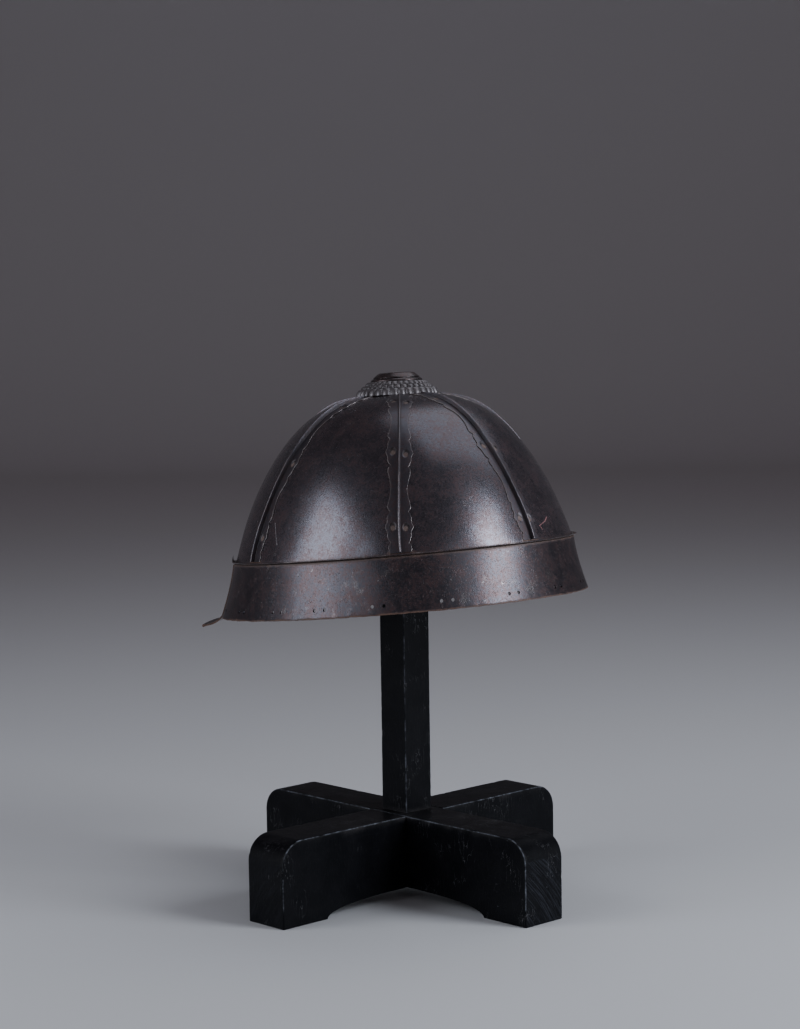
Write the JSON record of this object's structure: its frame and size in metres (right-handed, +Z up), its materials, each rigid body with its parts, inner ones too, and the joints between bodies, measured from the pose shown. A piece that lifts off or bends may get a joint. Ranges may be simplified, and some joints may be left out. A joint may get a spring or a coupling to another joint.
{
  "type": "samurai helmet on a wooden display stand",
  "caption": "Riveted iron samurai helmet bowl with standing ribs, waist band, visor and crown rosette, resting on a black wooden cross stand.",
  "frame": {"origin": "middle of the box around the whole, on the surface that the stand's feet rest on", "axes": "+Z up; the stand's two crossed beams lie along X and Y; the helmet's front points 112.5 degrees clockwise from +X, seen from above"},
  "size_m": [0.2494, 0.2744, 0.3345],
  "materials": {
    "plate_iron": "forged iron with a dark russet patina, satin, finely pitted",
    "rib_iron": "forged iron with a dark russet patina, bright worn edges",
    "band_iron": "forged iron with a dark russet patina, satin, pitted and speckled",
    "visor_iron": "forged iron with a dark russet patina and a worn rolled rim",
    "crown_iron": "chiselled iron, dark in the flutes and bright on the edges",
    "stand_wood": "black painted wood, satin, worn pale along the edges"
  },
  "bodies": {
    "root": {"beam_x": "stand_wood", "beam_y": "stand_wood", "post": "stand_wood", "plate_side_right": "plate_iron", "plate_front_right": "plate_iron", "plate_front": "plate_iron", "plate_front_left": "plate_iron", "plate_side_left": "plate_iron", "plate_rear": "plate_iron", "rib_strip_rear_right": "rib_iron", "rib_strip_side_right": "rib_iron", "rib_strip_front_right": "rib_iron", "rib_strip_front_left": "rib_iron", "rib_strip_side_left": "rib_iron", "rib_strip_rear_left": "rib_iron", "waist_band": "band_iron", "visor": "visor_iron", "crown_lower_petals": "crown_iron", "crown_upper_petals": "crown_iron", "crown_collar": "crown_iron", "crown_rim": "crown_iron"}
  },
  "joints": []
}
